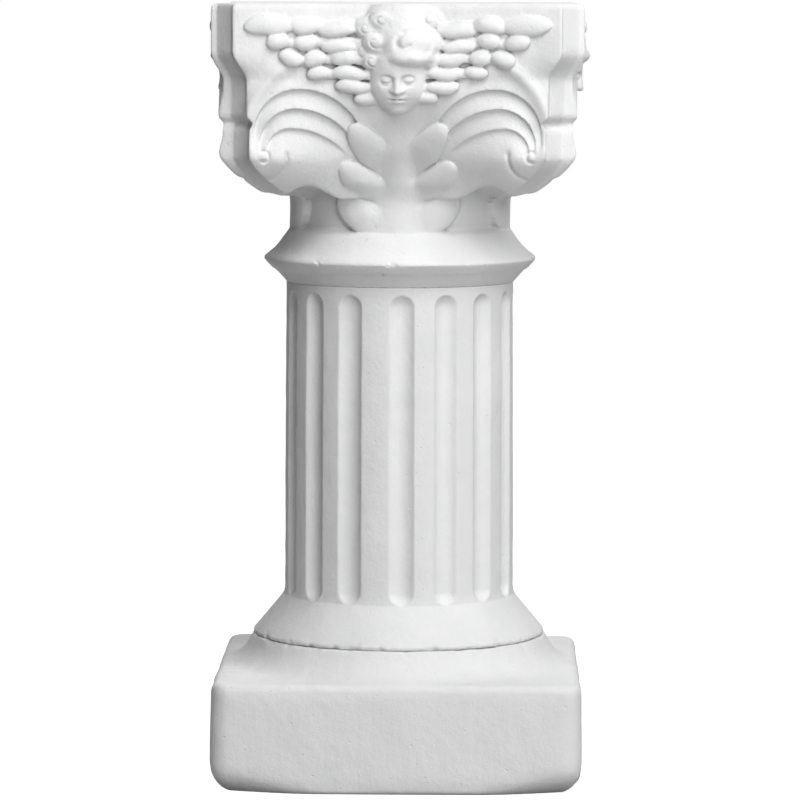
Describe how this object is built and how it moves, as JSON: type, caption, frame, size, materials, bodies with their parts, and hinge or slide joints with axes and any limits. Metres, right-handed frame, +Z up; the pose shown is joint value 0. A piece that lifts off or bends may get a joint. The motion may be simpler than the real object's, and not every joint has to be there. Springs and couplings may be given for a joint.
{
  "type": "plaster pedestal column",
  "caption": "White cast-plaster pedestal column: square plinth, fluted shaft and a square capital with winged cherub heads, scrolls and leaves.",
  "frame": {"origin": "middle of the plinth's underside, on the floor", "axes": "+Z up along the column's axis; one carved face of the capital looks toward -Y, +X is to that face's right as seen from the front"},
  "size_m": [0.299, 0.299, 0.6],
  "materials": {
    "plaster": "matt white cast plaster, thinly painted, with brush marks and casting pinholes"
  },
  "bodies": {
    "root": {"plinth": "plaster", "shaft": "plaster", "capital": "plaster"}
  },
  "joints": []
}
